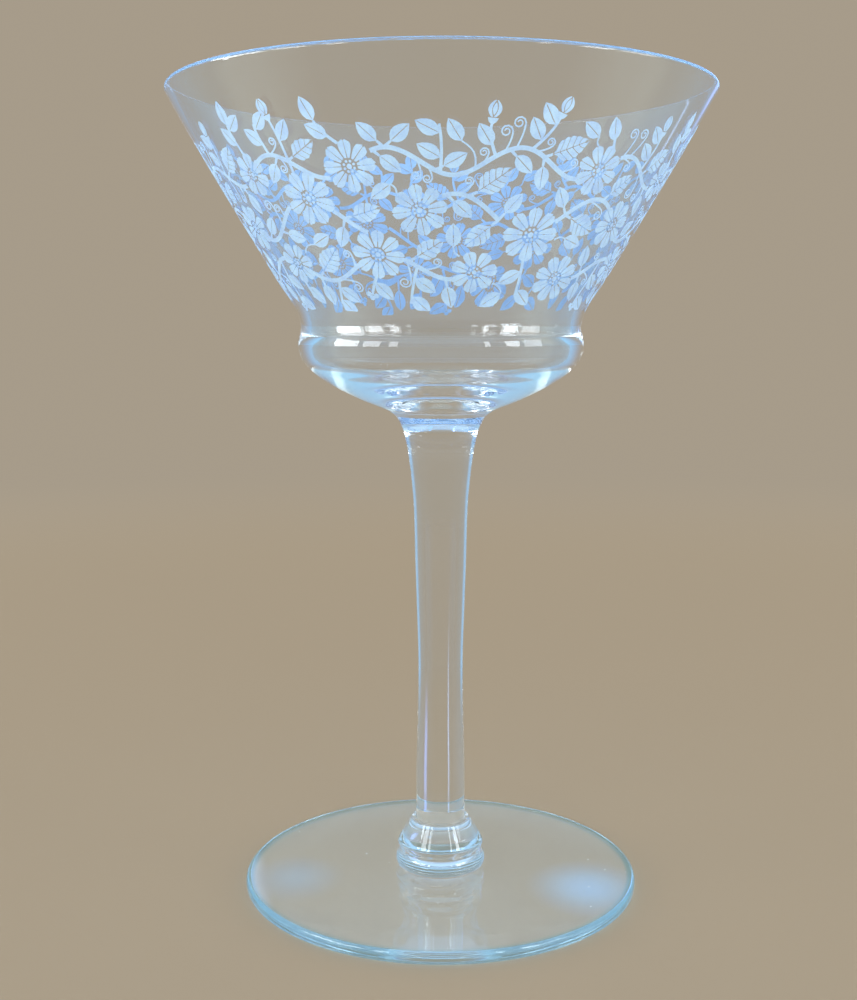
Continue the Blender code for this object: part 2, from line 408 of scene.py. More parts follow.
# Etched band: drawn flat on the fan that the cone unrolls to, then rolled onto the bowl
etchValues = {
    "repeats": 3, "seed": 11, "start": 75.0,
    "low": 0.1120, "high": 0.1460,  # heights on the bowl between which the cone is unrolled
    "proud": 0.00002, "sunk": 0.00006, "tipReach": 0.000004,  # points within this close a pointed tip
    "gap": 0.00050, "closeGap": 0.0001,  # round leaves on the vines, and round the smaller ones
    "vineWidth": 0.00078, "twigWidth": 0.00056, "twigTip": 0.00042,
    # height up the wall, swing, waves in a repeat, phase
    "vines": [(0.0085, 0.0024, 3, 0.3), (0.0180, 0.0036, 3, 3.4), (0.0272, 0.0024, 4, 1.0)],
    "vineSteps": 130, "leastRun": 6, "tuck": 0.0006,  # how far a vine runs in under a flower
    "ahead": 0.004,  # share of a repeat that gives a vine's direction
    # vine, place along it, kind
    "daisies": [(1, 0.085, "bigDaisy"), (1, 0.330, "midDaisy"), (1, 0.585, "bigDaisy"),
                (1, 0.830, "midDaisy"), (0, 0.205, "midDaisy"), (0, 0.455, "littleDaisy"),
                (0, 0.720, "midDaisy"), (0, 0.960, "littleDaisy"), (2, 0.200, "midDaisy"),
                (2, 0.450, "littleDaisy"), (2, 0.700, "midDaisy")],
    "daisyRadius": {"bigDaisy": 0.0050, "midDaisy": 0.0046, "littleDaisy": 0.0040},
    "daisyPetals": {"bigDaisy": 8, "midDaisy": 8, "littleDaisy": 7},
    "leafSize": {"bigLeaf": (0.0066, 0.0042), "midLeaf": (0.0055, 0.0036), "littleLeaf": (0.0043, 0.0026)},
    "leafLobes": {"bigLeaf": 5, "midLeaf": 4},
    "leafLevels": (0.0010, 0.0335), "leafSteps": 44, "leafClear": 0.0003, "stalks": (0.0005, 0.0009, 0.0015),
    # which way leaves lean off a vine: forward, back, then what is tried where there is no room
    "leafLean": (0.75, 1.15), "backLean": (1.7, 2.4), "leafSwings": (0, 0.25, -0.25, 0.5, -0.5, 0.8, -0.8),
    "leafCover": ((0.16, 0.28), (0.40, 0.45), (0.64, 0.43), (0.88, 0.22)),  # place along, radius in widths
    "budSize": (0.0038, 0.0022), "budCover": 0.0010, "berry": 0.00075, "seedRadius": 0.00050,
    "threes": ((1.3, 0), (0.1, 1.4), (0.1, -1.4)),  # how three stand at a tip, in radii
    # sprigs stand on the top vine and trails hang from the bottom one, with leaves in pairs
    "sprigs": {"count": 10, "first": 0.5, "jitter": 0.25, "lean": 0.35, "sway": (0.0012, 0.0026),
               "ends": (0.0318, 0.0362), "least": 0.0025, "long": 0.008, "pairs": 2},
    "trails": {"count": 9, "first": 0.35, "jitter": 0.1, "lean": 0.3, "sway": (0.0005, 0.0011),
               "ends": (0.0028, 0.0012), "least": 0.0015, "long": 0.004, "pairs": 1},
    "pairPlaces": (0.34, 0.46), "pairLean": (0.75, 0.95), "pairStalk": 0.0002, "twigCover": 0.00015,
    # how near its root a sprig finds a flower or a vine, and how far out on the flower it starts
    "flowerNear": 0.0012, "vineNear": 0.0006, "flowerEdge": 0.9,
    "tendrils": {"steps": 50, "clear": 0.0002, "gap": 0.00015, "width": (0.00030, 0.00020),
                 "lean": (0.7, 1.5),
                 "reachAndCurl": ((0.0042, 0.00105), (0.0034, 0.00105), (0.0027, 0.0008), (0.0021, 0.0008)),
                 "outSteps": 6, "coilSteps": 14, "coilTurns": 1.45, "tighten": 0.72},
    # twigs with one leaf, into the gaps that are left
    "fillers": {"tries": 1500, "levels": (0.0025, 0.0325), "room": 0.0013, "reach": (0.0003, 0.0060),
                "bows": (0.18, -0.18, 0.35, -0.35, 0.0), "swings": (0, 0.4, -0.4, 0.8, -0.8, 1.2, -1.2),
                "leafLevels": (0.0008, 0.0345), "width": (0.00032, 0.00024),
                "cover": 0.00013, "gap": 0.00008},
}


# A stroke is a small grid, given as cells along, cells across and how the unit square is bent
def leafEdge(share, width):
    lowBelly, blunt = 0.85, 0.8  # powers: widest below the middle, with full ends
    share = min(max(share, 0.0), 1.0)
    return width / 2 * math.sin(math.pi * share ** lowBelly) ** blunt


def featherLeaf(length, width, lobes):
    rib = 0.00009
    slit = 0.00019 / length
    base, reach = 0.03, 0.87  # the lobes' part of the length
    slant, slantLoss = 0.17, 0.05  # lobes slant to the tip, and less so near it
    bulge = 0.10
    thinnest = 0.00002
    strokes = []
    for side in (1, -1):
        for lobe in range(lobes):
            start = base + reach * lobe / lobes
            end = base + reach * (lobe + 1) / lobes - slit

            def shape(a, b, side=side, start=start, end=end):
                share = start + (end - start) * a + (slant - slantLoss * end) * b
                edge = leafEdge(share, width) * (1 - bulge + bulge * math.sin(math.pi * a))
                return share * length, side * (rib + max(edge - rib, thinnest) * b)

            strokes.append((2, 2, shape))
    return strokes


def plainLeaf(length, width):
    halfRib = 0.00008
    strokes = []
    for side in (1, -1):
        def shape(a, b, side=side):
            edge = leafEdge(a, width)
            rib = min(halfRib, edge)
            return a * length, side * (rib + (edge - rib) * b)

        strokes.append((6, 1, shape))
    return strokes


def spot(x, y, radius):
    def shape(a, b):
        across = 2 * a - 1
        up = 2 * b - 1
        return (x + radius * across * math.sqrt(1 - up * up / 2),
                y + radius * up * math.sqrt(1 - across * across / 2))

    return [(2, 2, shape)]


def turned(x, y, angle):
    return x * math.cos(angle) - y * math.sin(angle), x * math.sin(angle) + y * math.cos(angle)


def daisy(radius, petals):
    heart = 0.25 * radius
    width = 0.63 * math.tau * radius / petals
    start = heart + 0.00028
    neck, swell = 0.40, 0.62  # a petal's width beside the heart, and how fast it fills out
    roundFrom, tipFall, dip = 0.70, 0.96, 0.06  # its round end, with a dip in the middle
    halfSlit, slitLoss = 0.00009, 0.00005  # the slit down it closes to the tip
    eye, beads, beadAt, beadSize = 0.40, 8, 0.80, 0.21  # spots in the heart
    strokes = []
    for petal in range(petals):
        turn = math.tau * petal / petals
        for side in (1, -1):
            def shape(a, b, turn=turn, side=side):
                tip = max((a - roundFrom) / (1 - roundFrom), 0.0)
                edge = width / 2 * (neck + (1 - neck) * math.sin(math.pi * min(swell * a, 0.5)))
                edge *= math.sqrt(1 - tipFall * tip * tip)
                slit = halfSlit - slitLoss * a
                x = start + (radius - start) * a - dip * radius * (1 - b) * tip
                return turned(x, side * (slit + max(edge - slit, 0) * b), turn)

            strokes.append((6, 1, shape))
    strokes += spot(0, 0, eye * heart)
    for i in range(beads):
        strokes += spot(*turned(beadAt * heart, 0, math.tau * (i + 0.5) / beads), beadSize * heart)
    return strokes


def bud(length, width):
    cupEnd, petalsFrom, coreFrom, coreReach = 0.26, 0.30, 0.36, 0.56  # shares of the length
    coreHalf, coreRoom, cupFoot, cupFlare = 0.17, 0.20, 0.10, 0.30  # shares of the width
    bowFrom, bowReach, blunt = 0.08, 0.88, 0.7  # how a petal's edge is bowed
    slit, thinnest = 0.00007, 0.00002
    strokes = []
    for side in (1, -1):
        def petal(a, b, side=side):
            edge = width / 2 * math.sin(math.pi * (bowFrom + bowReach * a)) ** blunt
            inner = coreRoom * width * math.sin(math.pi * a) + slit
            along = length * (petalsFrom + (1 - petalsFrom) * a)
            return along, side * (inner + max(edge - inner, thinnest) * b)

        strokes.append((6, 1, petal))

    def core(a, b):
        return length * (coreFrom + coreReach * a), coreHalf * width * math.sin(math.pi * a) * (2 * b - 1)

    def cup(a, b):
        return length * cupEnd * a, width * (cupFoot + cupFlare * math.sqrt(a)) * (2 * b - 1)

    return strokes + [(5, 1, core), (3, 1, cup)]


def twig(points, wide, narrow):
    cells = len(points) - 1

    def shape(a, b):
        i = round(a * cells)
        before = points[max(i - 1, 0)]
        after = points[min(i + 1, cells)]
        run = math.hypot(after[0] - before[0], after[1] - before[1])
        half = (wide + (narrow - wide) * a) * (b - 0.5) / run
        return points[i][0] - (after[1] - before[1]) * half, points[i][1] + (after[0] - before[0]) * half

    return [(cells, 1, shape)]


# The wall from the foot of the band up to the lip, with the slant length so far
def unrolledWall(v):
    outside, wallCount = bowlOutside(bowlValues)
    climb = [p for p in outside[:wallCount] if p.y > v["low"]][::-1]
    below = outside[outside.index(climb[0]) + 1]
    climb.insert(0, below.lerp(climb[0], (v["low"] - below.y) / (climb[0].y - below.y)))
    lengths = [0.0]
    for here, there in zip(climb, climb[1:]):
        lengths.append(lengths[-1] + (there - here).length)
    return climb, lengths


bowlClimb, climbLengths = unrolledWall(etchValues)
climbRadii = [p.x for p in bowlClimb]
climbHeights = [p.y for p in bowlClimb]
bandSlant = np.interp(etchValues["high"], climbHeights, climbLengths)
coneSine = (np.interp(bandSlant, climbLengths, climbRadii) - climbRadii[0]) / bandSlant
coneApex = climbRadii[0] / coneSine  # slant length from the cone's tip to the foot of the band
fanAngle = math.tau / etchValues["repeats"] * coneSine


def onFan(share, level):
    return turned(0, coneApex + level, (0.5 - share) * fanAngle)


def levelOf(x, y):
    return math.hypot(x, y) - coneApex


def headingOf(here, there):
    return math.atan2(there[1] - here[1], there[0] - here[0])


placed = []  # motif, x, y, angle
stems = []  # points, width at the start, width at the end
covered = {"spots": np.empty((0, 3))}  # circles of the fan that are used: x, y, radius


def cover(circles):
    rows = []
    for x, y, radius in circles:
        for turn in (-fanAngle, 0, fanAngle):  # the neighbouring repeats count too
            rows.append((*turned(x, y, turn), radius))
    covered["spots"] = np.vstack((covered["spots"], rows))


def isFree(circles, gap):
    spots = covered["spots"]
    for x, y, radius in circles:
        if (np.hypot(spots[:, 0] - x, spots[:, 1] - y) < spots[:, 2] + radius + gap).any():
            return False
    return True


def put(motif, x, y, angle, circles):
    placed.append((motif, x, y, angle))
    cover(circles)


def leafCircles(x, y, angle, size):
    circles = []
    for share, part in etchValues["leafCover"]:
        dx, dy = turned(size[0] * share, 0, angle)
        circles.append((x + dx, y + dy, size[1] * part))
    return circles


def vinePoint(vine, share):
    level, swing, waves, phase = vine
    return onFan(share, level + swing * math.sin(math.tau * waves * share + phase))


daisySpots = []
vineSpots = []


def daisyAt(x, y, gap):
    for spotX, spotY, radius in daisySpots:
        if math.hypot(spotX - x, spotY - y) < radius + gap:
            return spotX, spotY, radius
    return None


def setDaisies(v, rng):
    for vine, share, kind in v["daisies"]:
        x, y = vinePoint(v["vines"][vine], share)
        radius = v["daisyRadius"][kind]
        put(kind, x, y, rng.uniform(0, math.tau), [(x, y, radius)])
        for turn in (-fanAngle, 0, fanAngle):
            daisySpots.append((*turned(x, y, turn), radius))


def runVines(v):
    for vine in v["vines"]:
        run = []
        for i in range(v["vineSteps"] + 2):
            x, y = vinePoint(vine, i / v["vineSteps"])
            if i <= v["vineSteps"] and not daisyAt(x, y, -v["tuck"]):
                run.append((x, y))
                continue
            if len(run) > v["leastRun"]:  # a vine runs from flower to flower
                stems.append((run, v["vineWidth"], v["vineWidth"]))
                cover([(*p, v["vineWidth"] / 2) for p in run])
                vineSpots.extend(run)
            run = []


def levelsOf(circles):
    levels = [levelOf(x, y) for x, y, radius in circles]
    return min(levels), max(levels)


def growLeaf(v, x, y, angle, kinds):
    lowest, highest = v["leafLevels"]
    for kind in kinds:
        for swing in v["leafSwings"]:
            for stalk in v["stalks"]:
                dx, dy = turned(stalk, 0, angle + swing)
                circles = leafCircles(x + dx, y + dy, angle + swing, v["leafSize"][kind])
                low, high = levelsOf(circles)
                if low < lowest or high > highest:
                    continue
                if isFree(circles, v["gap"]):
                    put(kind, x + dx, y + dy, angle + swing, circles)
                    stalkLine = [(x, y), (x + dx / 2, y + dy / 2), (x + dx, y + dy)]
                    stems.append((stalkLine, v["twigWidth"], v["twigTip"]))
                    return


def growSprig(v, rng, start, heading, length, sway, pairs):
    steps, bare = 10, 3  # the first points lie in what it grows from
    bend = 1.5
    points = []
    for i in range(steps + 1):
        dx, dy = turned(length * i / steps, sway * math.sin(bend * i / steps), heading)
        points.append((start[0] + dx, start[1] + dy))
    stems.append((points, v["twigWidth"], v["twigTip"]))
    lowest, spread = v["pairPlaces"]
    for k in range(pairs):
        x, y = points[round(steps * (lowest + spread * k / max(pairs - 1, 1)))]
        for side in (1, -1):
            lean = heading + side * rng.uniform(*v["pairLean"])
            circles = leafCircles(x, y, lean, v["leafSize"]["littleLeaf"])
            if isFree(circles, v["closeGap"]):
                dx, dy = turned(v["pairStalk"], 0, lean)
                put("littleLeaf", x + dx, y + dy, lean, circles)
    cover([(*p, v["twigCover"]) for p in points[bare:]])
    return points[-1], headingOf(points[-2], points[-1])


def putThree(v, motif, radius, x, y, heading):
    circles = []
    for along, across in v["threes"]:
        dx, dy = turned(along * radius, across * radius, heading)
        circles.append((x + dx, y + dy, radius))
    if isFree(circles, -v["tuck"]):
        for circle in circles:
            put(motif, circle[0], circle[1], 0, [circle])


def rootOf(v, x, y, heading):
    flower = daisyAt(x, y, v["flowerNear"])
    if flower:
        dx, dy = turned(v["flowerEdge"] * flower[2], 0, heading)
        return flower[0] + dx, flower[1] + dy
    if min(math.hypot(px - x, py - y) for px, py in vineSpots) < v["vineNear"]:
        return x, y
    return None


# Where a sprig or a trail starts, which way it heads and the level that it starts from
def startSprig(v, rng, kind, vine, k, up):
    share = (k + kind["first"] + rng.uniform(-kind["jitter"], kind["jitter"])) / kind["count"]
    x, y = vinePoint(vine, share)
    heading = math.atan2(up * y, up * x) + rng.uniform(-kind["lean"], kind["lean"])
    root = rootOf(v, x, y, heading)
    return root, heading, levelOf(*(root or (x, y)))


def finishSprig(v, rng, kind, root, heading, length):
    sway = rng.choice((-1, 1)) * rng.uniform(*kind["sway"])
    if not root or length < kind["least"]:
        return None
    pairs = kind["pairs"] + 1 if length > kind["long"] else kind["pairs"]
    (endX, endY), tip = growSprig(v, rng, root, heading, length, sway, pairs)
    return endX, endY, tip


def growSprigs(v, rng):
    kind = v["sprigs"]
    for k in range(kind["count"]):
        root, heading, level = startSprig(v, rng, kind, v["vines"][2], k, 1)
        end = finishSprig(v, rng, kind, root, heading, rng.uniform(*kind["ends"]) - level)
        if not end:
            continue
        x, y, tip = end
        if k % 3 == 0:
            dx, dy = turned(v["budSize"][0] / 2, 0, tip)
            put("bud", x, y, tip, [(x + dx, y + dy, v["budCover"])])
        elif k % 3 == 1:
            put("littleLeaf", x, y, tip, leafCircles(x, y, tip, v["leafSize"]["littleLeaf"]))
        else:
            putThree(v, "berry", v["berry"], x, y, tip)


def growTrails(v, rng):
    kind = v["trails"]
    for k in range(kind["count"]):
        root, heading, level = startSprig(v, rng, kind, v["vines"][0], k, -1)
        end = finishSprig(v, rng, kind, root, heading, level - kind["ends"][k % 2])
        if end:
            putThree(v, "seed", v["seedRadius"], *end)


# Points along a vine that no flower covers, each with the vine's direction there
def openPlaces(v, vine, shares, clear):
    for share in shares:
        here = vinePoint(vine, share)
        if not daisyAt(*here, clear):
            yield here, headingOf(here, vinePoint(vine, share + v["ahead"]))


def growLeaves(v, rng):
    shares = [i / v["leafSteps"] for i in range(v["leafSteps"])]
    for vine in v["vines"]:
        for here, along in openPlaces(v, vine, shares, v["leafClear"]):
            for lean, kinds in ((v["leafLean"], ("bigLeaf", "midLeaf", "littleLeaf")),
                                (v["backLean"], ("midLeaf", "littleLeaf"))):
                for side in (1, -1):
                    growLeaf(v, *here, along + side * rng.uniform(*lean), kinds)


def growTendril(t, closeGap, x, y, angle, hand):
    for reach, curl in t["reachAndCurl"]:
        dx, dy = turned(reach, 0, angle)
        if not isFree([(x + dx, y + dy, curl + closeGap)], t["gap"]):
            continue
        points = []
        for i in range(t["outSteps"]):
            bend = hand * curl * math.sin(math.pi / (2 * t["outSteps"]) * i)
            sideX, sideY = turned(reach * i / t["outSteps"], bend, angle)
            points.append((x + sideX, y + sideY))
        for i in range(t["coilSteps"] + 1):
            spin = angle + hand * (math.pi / 2 - t["coilTurns"] * math.tau * i / t["coilSteps"])
            coilX, coilY = turned(curl * (1 - t["tighten"] * i / t["coilSteps"]), 0, spin)
            points.append((x + dx + coilX, y + dy + coilY))
        stems.append((points, *t["width"]))
        cover([(x + dx, y + dy, curl)])
        return


def growTendrils(v, rng):
    t = v["tendrils"]
    shares = [(i + 0.5) / t["steps"] for i in range(t["steps"])]
    for vine in v["vines"]:
        for here, along in openPlaces(v, vine, shares, t["clear"]):
            for side in (1, -1):
                growTendril(t, v["closeGap"], *here, along + side * rng.uniform(*t["lean"]), -side)


# Leaf twigs run from the nearest vine or flower into the gaps that are left
def fillGaps(v, rng):
    f = v["fillers"]
    over = 20  # steps past a repeat's ends
    around = 24  # places round a flower
    starts = []
    for vine in v["vines"]:
        line = [vinePoint(vine, i / v["vineSteps"]) for i in range(-over, v["vineSteps"] + over)]
        starts += [p for p in line if not daisyAt(*p, v["closeGap"])]
    for x, y, radius in daisySpots:
        for i in range(around):
            dx, dy = turned(radius, 0, math.tau * i / around)
            starts.append((x + dx, y + dy))
    for attempt in range(f["tries"]):
        x, y = onFan(rng.random(), rng.uniform(*f["levels"]))
        if not isFree([(x, y, f["room"])], v["closeGap"]):
            continue
        start = min(starts, key=lambda p: math.hypot(p[0] - x, p[1] - y))
        reach = math.hypot(x - start[0], y - start[1])
        if f["reach"][0] < reach < f["reach"][1]:
            growTwig(v, start, (x, y), reach)


def growTwig(v, start, end, reach):
    f = v["fillers"]
    lowest, highest = f["leafLevels"]
    steps, bare = 6, 2
    away = headingOf(start, end)
    for bow in f["bows"]:
        points = []
        for i in range(steps + 1):
            dx, dy = turned(reach * i / steps, bow * reach * math.sin(math.pi * i / steps), away)
            points.append((start[0] + dx, start[1] + dy))
        line = [(*p, f["cover"]) for p in points[bare:]]
        if not isFree(line, f["gap"]):
            continue
        lean = headingOf(points[-2], points[-1])
        for swing in f["swings"]:
            circles = leafCircles(*end, lean + swing, v["leafSize"]["littleLeaf"])
            low, high = levelsOf(circles)
            if isFree(circles, v["closeGap"]) and low > lowest and high < highest:
                stems.append((points, *f["width"]))
                cover(line)
                put("littleLeaf", *end, lean + swing, circles)
                return


def layOutBand(v):
    rng = random.Random(v["seed"])
    setDaisies(v, rng)
    runVines(v)
    growSprigs(v, rng)
    growTrails(v, rng)
    growLeaves(v, rng)
    growTendrils(v, rng)
    fillGaps(v, rng)
    print("band laid out:", len(placed), "motifs,", len(stems), "stems in a repeat")


def drawStrokes(name, strokes):
    drawn = []
    for along, across, shape in strokes:
        bpy.ops.mesh.primitive_grid_add(
            x_subdivisions=along, y_subdivisions=across, size=1, location=(0, 0, 0))
        stroke = bpy.context.object
        for vert in stroke.data.vertices:
            vert.co = (*shape(vert.co.x + 0.5, vert.co.y + 0.5), 0)
        drawn.append(stroke)
    return joinPieces(name, drawn)


def joinPieces(name, pieces):
    bpy.ops.object.select_all(action="DESELECT")
    for piece in pieces:
        piece.select_set(True)
    bpy.context.view_layer.objects.active = pieces[0]
    bpy.ops.object.join()
    joined = bpy.context.object
    joined.name = joined.data.name = name
    return joined


def drawMotifs(v):
    motifs = {}
    for kind, radius in v["daisyRadius"].items():
        motifs[kind] = drawStrokes(kind, daisy(radius, v["daisyPetals"][kind]))
    for kind, lobes in v["leafLobes"].items():
        motifs[kind] = drawStrokes(kind, featherLeaf(*v["leafSize"][kind], lobes))
    motifs["littleLeaf"] = drawStrokes("littleLeaf", plainLeaf(*v["leafSize"]["littleLeaf"]))
    motifs["bud"] = drawStrokes("bud", bud(*v["budSize"]))
    motifs["berry"] = drawStrokes("berry", spot(0, 0, v["berry"]))
    motifs["seed"] = drawStrokes("seed", spot(0, 0, v["seedRadius"]))
    return motifs


# Where a point of the flat fan comes to lie on the bowl
def onBowl(x, y, lift):
    angle = -math.atan2(x, y) / coneSine
    level = levelOf(x, y)
    radius = np.interp(level, climbLengths, climbRadii)
    height = np.interp(level, climbLengths, climbHeights)
    out = radius + lift * math.sqrt(1 - coneSine * coneSine)
    return out * math.sin(-angle), -out * math.cos(angle), height - lift * coneSine


def drawPanel(v, outer, inner):
    motifs = drawMotifs(v)
    pieces = []
    for kind, x, y, angle in placed:
        copy = motifs[kind].copy()
        copy.data = motifs[kind].data.copy()
        bpy.context.collection.objects.link(copy)
        copy.location = (x, y, 0)
        copy.rotation_euler.z = angle
        pieces.append(copy)
    for points, wide, narrow in stems:
        pieces.append(drawStrokes("stem", twig(points, wide, narrow)))
    panel = joinPieces("etched_panel_1", pieces)
    bpy.ops.object.transform_apply(location=True, rotation=True, scale=True)
    for motif in motifs.values():
        bpy.data.objects.remove(motif)
    for vert in panel.data.vertices:
        vert.co = onBowl(vert.co.x, vert.co.y, v["proud"])
    panel.data.update()
    bpy.ops.object.mode_set(mode="EDIT")
    bpy.ops.mesh.select_all(action="SELECT")
    bpy.ops.mesh.remove_doubles(threshold=v["tipReach"])
    bpy.ops.mesh.select_all(action="DESELECT")
    bpy.ops.object.mode_set(mode="OBJECT")
    for face in panel.data.polygons:
        outward = Vector((face.center.x, face.center.y, 0))
        face.select = face.normal.dot(outward) < 0
    bpy.ops.object.mode_set(mode="EDIT")
    bpy.ops.mesh.select_mode(type="FACE")
    bpy.ops.mesh.flip_normals()
    bpy.ops.object.mode_set(mode="OBJECT")
    panel.data.materials.clear()
    panel.data.materials.append(outer)
    panel.data.materials.append(inner)
    depth = panel.modifiers.new("depth", "SOLIDIFY")
    depth.thickness = v["proud"] + v["sunk"]
    depth.offset = -1
    # the inner side takes the darker frost colours: painted shade
    depth.material_offset = 1  # the side that shows through the wall
    bpy.ops.object.modifier_apply(modifier="depth")
    return panel


def frostMaterial(name, bright, deep, look):
    material, tree, shader = newMaterial(name)
    place = tree.nodes.new("ShaderNodeTexCoord").outputs["Object"]
    grain = addNode(tree, "ShaderNodeGroup", {
        "Vector": place, "Grain Scale": look["grainScale"], "Bright": (*bright, 1), "Deep": (*deep, 1)},
        node_tree=acidGrain).outputs
    bump = addNode(tree, "ShaderNodeBump", {
        "Strength": 0.5, "Distance": look["grain"], "Height": grain["Height"]})
    feed(tree, shader, {
        "Normal": bump.outputs["Normal"], "Base Color": grain["Colour"], "Roughness": grain["Roughness"]})
    letLampsThrough(tree, shader, look["shade"])
    return material


# Bright and deep colours of the frost, outside and as it shows through the wall. The blue in them is painted
# sky light, and the inside colours are darker: painted shade on the pattern seen through the wall.
frostLook = {"outside": ((0.50, 0.73, 0.96), (0.37, 0.56, 0.86)),
             "inside": ((0.38, 0.58, 0.84), (0.29, 0.45, 0.70)),
             "grainScale": 4200.0, "grain": 0.00002, "shade": (0.5, 0.52, 0.55)}
layOutBand(etchValues)
firstPanel = drawPanel(etchValues, frostMaterial("acidFrost", *frostLook["outside"], frostLook),
                       frostMaterial("acidFrostShadedInside", *frostLook["inside"], frostLook))
panels = [firstPanel]
for i in range(1, etchValues["repeats"]):
    panel = firstPanel.copy()
    panel.data = firstPanel.data.copy()
    panel.name = panel.data.name = "etched_panel_%d" % (i + 1)
    bpy.context.collection.objects.link(panel)
    panels.append(panel)
for i, panel in enumerate(panels):
    turn = math.radians(etchValues["start"]) + math.tau * i / etchValues["repeats"]
    panel.data.transform(Matrix.Rotation(turn, 4, "Z"))
    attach(panel, "root")
print("etched band:", len(panels), "panels of", len(firstPanel.data.polygons), "faces")

# What clear glass picks up from the room: sky by bearing from straight behind, and a dome above it
skyValues = {
    "plain": (0.385, 0.330, 0.255),  # the backdrop itself
    # degrees from straight behind, colour: seen through the glass, then mirrored in it
    "through": [(30, (0.385, 0.335, 0.265)), (49, (0.38, 0.36, 0.32)), (57, (0.36, 0.56, 0.78)),
                (62, (0.37, 0.64, 0.92)), (74, (0.37, 0.64, 0.92)), (86, (0.385, 0.36, 0.31)),
                (180, (0.385, 0.33, 0.255))],
    "mirrored": [(27, (0.36, 0.40, 0.46)), (40, (0.35, 0.54, 0.76)), (50, (0.37, 0.68, 0.97)),
                 (72, (0.40, 0.74, 1.0)), (82, (1.0, 1.4, 1.6)), (100, (1.0, 1.4, 1.6)),
                 (125, (0.32, 0.50, 0.70)), (180, (0.26, 0.38, 0.50))],
    "sideFrom": 10, "sideFull": 28,
    # the dome comes in between these two elevations
    "dome": (0.58, 0.84, 1.12), "domeFrom": 20, "domeFull": 42,
}


def addRamp(tree, share, stops):
    ramp = addNode(tree, "ShaderNodeValToRGB", {"Fac": share})
    points = ramp.color_ramp.elements
    for i, (bearing, colour) in enumerate(stops):
        point = points[i] if i < 2 else points.new(1.0)
        point.position = bearing / 180
        point.color = (*colour, 1)
    return ramp.outputs["Color"]


def makeRoomSky(v):
    group, given, out = newGroup(
        "roomSky", {"Vector": "Vector", "Mirrored": "Float"}, {"Colour": "Color", "Share": "Float"})
    unit = addNode(group, "ShaderNodeVectorMath", {0: given["Vector"]}, operation="NORMALIZE")
    parts = addNode(group, "ShaderNodeSeparateXYZ", {"Vector": unit.outputs["Vector"]}).outputs
    bearing = reckon(group, "ARCTAN2", reckon(group, "ABSOLUTE", parts["X"]), parts["Y"])
    half = reckon(group, "DIVIDE", bearing, math.pi)
    sides = blend(group, given["Mirrored"], addRamp(group, half, v["through"]),
                  addRamp(group, half, v["mirrored"]))
    side = softRise(group, bearing, math.radians(v["sideFrom"]), math.radians(v["sideFull"]))
    above = softRise(group, parts["Z"], math.sin(math.radians(v["domeFrom"])),
                     math.sin(math.radians(v["domeFull"])))
    feed(group, out, {"Colour": blend(group, above, sides, (*v["dome"], 1)),
                      "Share": reckon(group, "MAXIMUM", side, above)})
    return group


roomSky = makeRoomSky(skyValues)

# Stage: one pale floor that runs out into a plain backdrop
floorValues = {"size": 6.0, "drop": 0.0002, "colour": (0.41, 0.345, 0.26), "polish": 0.06, "shine": 0.5,
               "fadeFrom": 0.35, "fadeTo": 0.75,  # where the floor runs out
               "near": 0.05, "far": 0.16}  # where the sky comes in, seen through the glass
bpy.ops.object.select_all(action="DESELECT")
bpy.ops.mesh.primitive_plane_add(size=floorValues["size"], location=(0, 0, -floorValues["drop"]))
floor = bpy.context.object
floor.name = "floor"


def paleFloor(v):
    material, tree, shader = newMaterial("paleFloor")
    place = tree.nodes.new("ShaderNodeTexCoord").outputs["Object"]
    path = tree.nodes.new("ShaderNodeLightPath").outputs
    away = lengthOf(tree, place)
    # matt where it is bare and under the foot
    gloss = rise(tree, away, footRadius, v["far"] / 2, 0.0, v["shine"])
    feed(tree, shader, {
        "Base Color": (*v["colour"], 1), "Roughness": v["polish"],
        "Specular IOR Level": reckon(tree, "MULTIPLY", path["Is Transmission Ray"], gloss)})
    sky = addNode(tree, "ShaderNodeGroup", {"Vector": place, "Mirrored": path["Glossy Depth"]},
                  node_tree=roomSky).outputs
    aside = reckon(tree, "MULTIPLY", softRise(tree, away, v["near"], v["far"]), sky["Share"])
    through = reckon(tree, "MULTIPLY", aside, path["Is Transmission Ray"])
    shown = reckon(tree, "MAXIMUM", through, softRise(tree, away, v["fadeFrom"], v["fadeTo"]))
    colour = blend(tree, through, (*skyValues["plain"], 1), sky["Colour"])
    glow = addNode(tree, "ShaderNodeEmission", {"Color": colour})
    mixSurface(tree, shown, shader.outputs["BSDF"], glow.outputs["Emission"])
    material.cycles.emission_sampling = "NONE"
    return material


floor.data.materials.append(paleFloor(floorValues))

# Soft lamps that only light, small windows near the cup that only show mirrored in the glass,
# and soft panes behind that show mirrored in the foot and down the stem
lampColour = (0.88, 0.94, 1.0)
lampAim = Vector((0, 0, 0.09))
lampValues = {"bearings": (-75, -30, 30, 75, 140, -140), "height": 0.42, "distance": 1.6,
              "size": (0.8, 0.6), "glow": 6.6}
windows = {  # bearing from the camera's side, height of the middle, distance, width, height, glow
    "windowLeft": (-74, 0.125, 0.15, 0.062, 0.058, 10.0),
    "paneLeft": (-51, 0.124, 0.15, 0.036, 0.060, 6.5),
    "narrowLeft": (-34, 0.124, 0.15, 0.018, 0.060, 6.0),
    "windowRight": (53, 0.124, 0.15, 0.030, 0.060, 9.0),
    "paneRight": (71, 0.124, 0.15, 0.044, 0.060, 4.0),
    "narrowRight": (33, 0.124, 0.15, 0.010, 0.060, 7.0),
}
